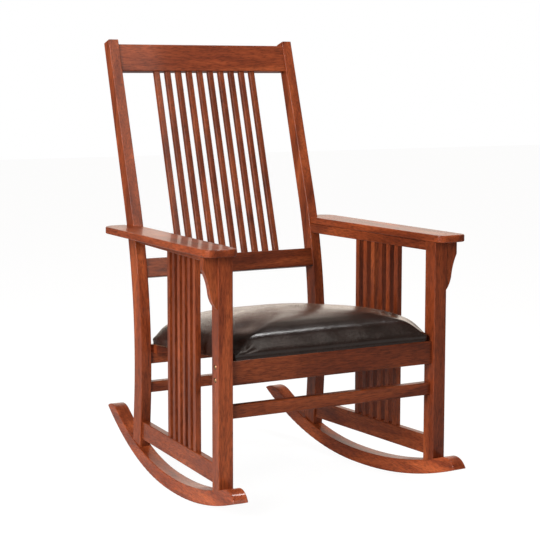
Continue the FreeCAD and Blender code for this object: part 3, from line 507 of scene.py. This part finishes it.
def side_of_cushion(rise):
    """Height, inset and corner for places from 0 at the foot to 1 at the crown's rim.

    The table of shares is joined by straight lines at 401 places. Each value is then replaced by a
    weighted mean of itself and SOFTEN neighbours on each side, which rounds the joints off.
    """
    knots = np.linspace(0, 1, len(SIDE_SHARES))
    fine = np.linspace(0, 1, 401)
    table = np.column_stack([np.interp(fine, knots, column) for column in SIDE_SHARES.T])
    kernel = np.hanning(2 * SOFTEN + 1)
    kernel /= kernel.sum()
    pad = np.pad(table, ((SOFTEN, SOFTEN), (0, 0)), mode="reflect", reflect_type="odd")
    soft = np.column_stack([np.convolve(column, kernel, "valid") for column in pad.T])
    return np.column_stack([np.interp(rise, fine, column) for column in soft.T])


def drawn_down(points):
    """The cushion with its corners pulled down, as leather is where it is folded and stapled.

    A point's height over the board's top is cut by up to CORNER_CUT of itself. The cut falls off
    with the point's distance, seen from above, from the nearest corner of the tapered rectangle.
    """
    x, y, z = points.T
    front = np.hypot(np.abs(x) - FRONT_HALF, y + CUSHION_LEAD)
    back = np.hypot(np.abs(x) - BACK_HALF, y - DEEP + CUSHION_LEAD)
    cut = CORNER_CUT * np.exp(-(np.minimum(front, back) / CORNER_REACH) ** 2)
    low = np.maximum(z - BOARD, 0)
    return np.column_stack([x, y, z - cut * low])


def cushion_form(shrink, around=240, up=34, over=9):
    """The whole closed cushion, as a stack of rings that is closed at both ends.

    From the middle of the underside the rings run out over the board, drop down its edge, turn
    round the foot of the leather, climb the side and close in on the middle of the top. around is
    the number of points in a ring, up the rings of the side, and over those of the top or the
    underside. shrink makes the form smaller, to leave room for what the stuffing will push out.
    """
    turns = (np.arange(around) + 0.5) / around

    def ring(inset, corner, high):
        return np.column_stack([cushion_ring(turns, inset, corner), np.full(around, high)])

    side = []
    for high, inset, corner in side_of_cushion(np.linspace(0, 1, up)):
        room = shrink * min(high / 0.4, 1)
        side.append(ring(CROWN_RUN * inset + room, CORNER * corner,
                         BOARD + (HIGH - shrink) * high))
    foot_corner = CORNER * SIDE_SHARES[0, 2]
    turned = [ring(inset, foot_corner, high) for inset, high in FOOT_TURN]
    shares = np.linspace(0, 1, over + 1)
    under_edge = ring(UNDER_INSET, foot_corner, UNDER_HIGH)
    under_middle = np.array([0, DEEP / 2, UNDER_HIGH])
    under = [under_edge + share * (under_middle - under_edge) for share in shares[:-1]]
    top = side[-1]
    middle = np.array([0, DEEP / 2, top[0, 2] + CROWN_RISE])
    crown = []
    for share in shares[1:-1]:
        row = top + share * (middle - top)
        row[:, 2] = top[0, 2] + CROWN_RISE * (1 - (1 - share) ** 2)
        crown.append(row)
    rows = under[::-1] + turned + side + crown
    points = drawn_down(np.vstack([under_middle[None]] + rows + [middle[None]]))
    grid = 1 + np.arange(len(rows) * around).reshape(len(rows), around)
    right = np.roll(grid, -1, axis=1)
    quads = np.stack([grid[:-1], right[:-1], right[1:], grid[1:]], axis=-1).reshape(-1, 4)
    first = np.column_stack([np.zeros(around, int), right[0], grid[0]])
    last = np.column_stack([np.full(around, len(points) - 1), grid[-1], right[-1]])
    return points, quads.tolist() + first.tolist() + last.tolist()


# %% [markdown]
# ## Stuffing the cushion
#
# Worked-out rings are too regular for leather over foam. Blender's cloth does the rest. A copy of
# the form is remeshed into even patches and blown up with a little pressure, so that it stretches
# and finds its own soft swelling. Every move is capped, and the foot is held, because that is
# where the leather is stapled. The moves are then read back onto the neat rings, which keep a
# clean edge.

# %% Stuff the cushion
SWELL = 0.006
PATCH = 0.006
STAPLED_TO = BOARD + 0.008
PRESSURE = 4
SETTLING_FRAMES = 20
# How far up the cushion its foot is kept still, and over what height it then comes free.
STILL_TO, FREE_OVER = 0.003, 0.018


def frozen(piece):
    """The piece's mesh as its modifiers leave it."""
    now = bpy.context.evaluated_depsgraph_get()
    return bpy.data.meshes.new_from_object(piece.evaluated_get(now))


def blown_up(points, faces):
    """Where an even copy of the form starts, and how far cloth under pressure moves each point.

    A move keeps its direction. Its length becomes SWELL times the hyperbolic tangent of the length
    over SWELL, so that small moves stay as they are and none is longer than SWELL.
    """
    copy = mesh_object("stuffing", points, faces)
    remesh = copy.modifiers.new("even", "REMESH")
    remesh.mode = "VOXEL"
    remesh.voxel_size = PATCH
    even = frozen(copy)
    copy.modifiers.clear()
    copy.data = even
    start = corners_of(copy).copy()
    held = copy.vertex_groups.new(name="stapled")
    held.add(np.where(start[:, 2] < STAPLED_TO)[0].tolist(), 1.0, "REPLACE")
    cloth = copy.modifiers.new("cloth", "CLOTH")
    cloth.settings.quality = 5
    cloth.settings.mass = 0.4
    cloth.settings.tension_stiffness = 22
    cloth.settings.compression_stiffness = 12
    cloth.settings.shear_stiffness = 8
    cloth.settings.bending_stiffness = 2.5
    cloth.settings.vertex_group_mass = "stapled"
    cloth.settings.use_pressure = True
    cloth.settings.uniform_pressure_force = PRESSURE
    cloth.settings.effector_weights.gravity = 0
    cloth.collision_settings.use_collision = False
    cloth.collision_settings.use_self_collision = False
    for number in range(1, SETTLING_FRAMES + 1):
        bpy.context.scene.frame_set(number)
    moved = frozen(copy)
    bpy.context.scene.frame_set(1)
    copy.modifiers.clear()
    copy.data = moved
    move = corners_of(copy) - start
    far = np.linalg.norm(move, axis=1)
    move *= (SWELL * np.tanh(far / SWELL) / np.maximum(far, 1e-9))[:, None]
    bpy.data.objects.remove(copy)
    print("stuffing moves the leather by", round(float(far.mean()) * 1000, 2), "mm on average")
    return start, move


def read_back(points, start, move, reach=0.012, cell=0.05):
    """Each point's move: the mean of the moves near it, weighted by a bell of their distance.

    The seat is cut into square cells, so that a cell's points are only compared with what is
    near. At the foot the moves are faded out: they are multiplied by 3 climb squared less 2 climb
    cubed, where climb goes from 0 to 1 over the height that FREE_OVER names.
    """
    taken = np.zeros_like(points)
    cells = np.floor(points[:, :2] / cell)
    for corner in np.unique(cells, axis=0):
        here = (cells == corner).all(axis=1)
        low, high = corner * cell - 4 * reach, (corner + 1) * cell + 4 * reach
        near = ((start[:, :2] > low) & (start[:, :2] < high)).all(axis=1)
        gap = ((points[here][:, None, :] - start[near][None, :, :]) ** 2).sum(axis=2)
        weight = np.exp(-gap / reach ** 2) + 1e-12
        taken[here] = weight @ move[near] / weight.sum(axis=1)[:, None]
    climb = np.clip((points[:, 2] - STILL_TO) / FREE_OVER, 0, 1)
    return taken * (climb ** 2 * (3 - 2 * climb))[:, None]


form, form_faces = cushion_form(shrink=0.004)
form = form + read_back(form, *blown_up(form, form_faces))
cushion = mesh_object("seat_cushion", form, form_faces)

# %% [markdown]
# ## Folds and sags in the leather
#
# Bonded leather that is pulled over a corner puckers there, and years of sitters leave it a little
# slack along the roll. Those are small moves along the surface's normal: short wrinkles that fan
# out at the two front corners, long soft waves on the front roll, a broad dip in the middle and a
# faint slackness all over. The corner that is at the left as seen from the front is creased more.

# %% Pucker the corners
CREASE_LEFT, CREASE_RIGHT = 0.0008, 0.0003
ROLL_WAVE = 0.0003
DIP = 0.0022
SLACK = 0.00015


def outward(piece):
    """The mesh's point normals as an array of rows."""
    flat = np.empty(len(piece.data.vertices) * 3)
    piece.data.vertices.foreach_get("normal", flat)
    return flat.reshape(-1, 3)


def bell(distance, width):
    """1 in the middle, falling softly to 0: e to the power of minus (distance / width) squared."""
    return np.exp(-(distance / width) ** 2)


def puckers(points):
    """How far each point of the cushion moves along its normal, in metres.

    Each front corner has creases that fan out from a point low on the corner: a wave in the angle
    about that point, strongest 30 mm away from it. Waves along the front roll change slowly across
    it. The dip is a bell in both directions, and the slackness is one wave times another. All of
    it fades out over the lowest 20 mm.
    """
    x, y, z = points.T
    move = np.zeros(len(points))
    for hand in (-1, 1):
        along = x * hand - (FRONT_HALF - 0.012)
        back = y - 0.012
        high = z - (BOARD + 0.004)
        reach = np.sqrt(along ** 2 + back ** 2 + high ** 2)
        fan = np.arctan2(high, back - along)
        crease = np.cos(fan * 9 + hand * 0.7 + 3.0 * np.sin(fan * 2)) * bell(reach - 0.03, 0.026)
        move += (CREASE_LEFT if hand < 0 else CREASE_RIGHT) * crease
    front = bell(y + 0.001, 0.05) * bell(z - (BOARD + HIGH * 0.42), 0.03)
    move += ROLL_WAVE * front * np.sin(x * 46 + 1.5 * np.sin(x * 19) + z * 60)
    sat = bell(x, 0.16) * bell(y - DEEP * 0.52, 0.15) * (z > BOARD + HIGH * 0.7)
    move -= DIP * sat
    slack = np.sin(x * 31 + 2.0 * np.sin(y * 13)) * np.sin(y * 27 + 1.1 * np.sin(x * 17))
    move += SLACK * slack * (z > BOARD + HIGH * 0.3)
    return move * np.clip((z - 0.004) / 0.016, 0, 1)


def finish_cushion(piece):
    """Cuts each face of the cushion in four, smoothly, then puckers it and sets it on the rail."""
    smoother = piece.modifiers.new("smooth", "SUBSURF")
    smoother.levels = smoother.render_levels = 1
    made = frozen(piece)
    piece.modifiers.clear()
    piece.data = made
    points = corners_of(piece)
    points = points + outward(piece) * puckers(points)[:, None]
    put_corners(piece, on_seat(points))
    made.polygons.foreach_set("use_smooth", np.ones(len(made.polygons), bool))
    print("cushion:", len(made.polygons), "faces")


finish_cushion(cushion)

# %% [markdown]
# ## Leather
#
# Bonded leather is a dark brown film embossed with a pebble grain. The pebbles are about a
# millimetre and a half across, darker towards the creases between them, and finer wrinkles run
# over them. The film is glossy, and worn duller in broad clouds. Cell noise makes the pebbles.

# %% The leather finish
def seat_leather():
    """Dark leather: cells for pebbles, warped so that they are not regular, and a cloudy gloss."""
    material, tree, shader, place = fresh_material("seat_leather")
    wander = add(tree, "ShaderNodeTexNoise", Vector=place, Scale=60.0, Detail=2.0).outputs["Color"]
    warped = blend(tree, 0.012, place, wander)
    pebbles = add(tree, "ShaderNodeTexVoronoi", Vector=warped, Scale=620.0, Randomness=0.95)
    fine = speckle(tree, place, 1500.0, 3.0, 0.6)
    broad = speckle(tree, place, 16.0, 3.0, 0.55)
    dome = ramp(tree, pebbles.outputs["Distance"], [(0.25, grey(1.0)), (0.75, grey(0.0))])
    ground = ramp(tree, broad, [(0.3, (0.015, 0.0085, 0.0068)), (0.7, (0.027, 0.0155, 0.0128))])
    colour = blend(tree, 0.5, ground, dome, "MULTIPLY")
    tree.links.new(colour, shader.inputs["Base Color"])
    tree.links.new(ramp(tree, broad, [(0.3, grey(0.18)), (0.7, grey(0.25))]),
                   shader.inputs["Roughness"])
    shader.inputs["Specular IOR Level"].default_value = 0.4
    shader.inputs["Sheen Weight"].default_value = 0.08
    shader.inputs["Sheen Roughness"].default_value = 0.3
    shader.inputs["Sheen Tint"].default_value = (1.0, 0.6, 0.4, 1)
    tree.links.new(bumps(tree, fine, 0.12, 0.0002, bumps(tree, dome, 0.24, 0.0003)),
                   shader.inputs["Normal"])
    return material


cushion.data.materials.clear()
cushion.data.materials.append(seat_leather())
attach(cushion, "root")
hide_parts("seat_cover", "seat_foam")
print("leather on", cushion.name)

# %% [markdown]
# ## Floor, backdrop and light
#
# Catalogue pictures float on white. The floor is a pale plane, and where the camera sees it
# directly it glows nearly white, with the chair's own faint shadow left in. A large soft lamp
# stands on the left, a small weak one hangs overhead, and a weak warm one stands in front. The
# room is bright behind the chair and dim everywhere else.

# %% The floor
FLOOR_HALF = 14.0
GLOW, GLOW_SHARE = 1.15, 0.82


def white_floor():
    """Pale floor: the camera sees it glow, and all else sees an ordinary pale surface."""
    material = bpy.data.materials.new("floor")
    material.use_nodes = True
    tree = material.node_tree
    shader = tree.nodes["Principled BSDF"]
    shader.inputs["Base Color"].default_value = (0.62, 0.62, 0.62, 1)
    shader.inputs["Roughness"].default_value = 0.9
    glow = add(tree, "ShaderNodeEmission", Color=(1, 1, 1, 1), Strength=GLOW)
    path = tree.nodes.new("ShaderNodeLightPath")
    share = tree.nodes.new("ShaderNodeMath")
    share.operation = "MULTIPLY"
    tree.links.new(path.outputs["Is Camera Ray"], share.inputs[0])
    share.inputs[1].default_value = GLOW_SHARE
    mixed = tree.nodes.new("ShaderNodeMixShader")
    tree.links.new(share.outputs[0], mixed.inputs["Fac"])
    tree.links.new(shader.outputs[0], mixed.inputs[1])
    tree.links.new(glow.outputs[0], mixed.inputs[2])
    tree.links.new(mixed.outputs[0], tree.nodes["Material Output"].inputs["Surface"])
    return material


floor_corners = FLOOR_HALF * np.array([(-1, -1, 0), (1, -1, 0), (1, 1, 0), (-1, 1, 0)])
floor = mesh_object("floor", floor_corners, [(0, 1, 2, 3)])
floor.data.materials.append(white_floor())
print("floor laid")


# %% Lamps and the room
def soft_lamp(name, at, towards, size, power, tint=(1, 1, 1)):
    """A square lamp of a given size in metres, turned towards a point."""
    data = bpy.data.lights.new(name, "AREA")
    data.shape = "SQUARE"
    data.size = size
    data.energy = power
    data.color = tint
    lamp = bpy.data.objects.new(name, data)
    lamp.location = at
    look = [b - a for a, b in zip(at, towards)]
    flat = math.hypot(look[0], look[1])
    heading = math.atan2(look[1], look[0]) - math.pi / 2
    lamp.rotation_euler = (math.atan2(flat, -look[2]), 0, heading)
    bpy.context.scene.collection.objects.link(lamp)


CHAIR_MIDDLE = (0, 0, 0.5)
soft_lamp("left_lamp", (-3.4, -1.4, 1.9), CHAIR_MIDDLE, 2.0, 235)
soft_lamp("overhead_lamp", (1.1, -0.3, 3.3), CHAIR_MIDDLE, 0.5, 36)
soft_lamp("front_lamp", (1.0, -3.6, 2.9), CHAIR_MIDDLE, 1.8, 42, (1, 0.93, 0.86))

# The bright part of the room: its direction from the chair, about the way the camera looks, and
# the cosines of the angles to it where the brightness starts and where it is full.
BACKDROP_WAY = (0.48, 0.87, 0.12)
BACKDROP_STARTS, BACKDROP_FULL = 0.80, 0.96
DIM, BRIGHT = 0.16, 1.7


def studio_room():
    """A room that is bright behind the chair and dim everywhere else, in a warm tint.

    The brightness of a direction follows the cosine of its angle to BACKDROP_WAY: DIM up to
    BACKDROP_STARTS, BRIGHT from BACKDROP_FULL, and in proportion between them. That is what the
    chair reflects and is lit by. The camera itself sees plain white all round.
    """
    world = bpy.data.worlds.new("room")
    bpy.context.scene.world = world
    world.use_nodes = True
    room = world.node_tree
    sky = room.nodes["Background"]
    way = room.nodes.new("ShaderNodeTexCoord").outputs["Generated"]
    along = room.nodes.new("ShaderNodeVectorMath")
    along.operation = "DOT_PRODUCT"
    room.links.new(way, along.inputs[0])
    along.inputs[1].default_value = BACKDROP_WAY
    spread = add(room, "ShaderNodeMapRange", Value=along.outputs["Value"],
                 From_Min=BACKDROP_STARTS, From_Max=BACKDROP_FULL, To_Min=DIM, To_Max=BRIGHT)
    room.links.new(spread.outputs["Result"], sky.inputs["Strength"])
    sky.inputs["Color"].default_value = (1, 0.88, 0.77, 1)
    path = room.nodes.new("ShaderNodeLightPath")
    white = add(room, "ShaderNodeBackground", Color=(1, 1, 1, 1), Strength=1.0)
    mixed = room.nodes.new("ShaderNodeMixShader")
    room.links.new(path.outputs["Is Camera Ray"], mixed.inputs["Fac"])
    room.links.new(sky.outputs[0], mixed.inputs[1])
    room.links.new(white.outputs[0], mixed.inputs[2])
    room.links.new(mixed.outputs[0], room.nodes["World Output"].inputs["Surface"])


studio_room()
bpy.context.scene.view_settings.view_transform = "Standard"
print("lamps and room set")
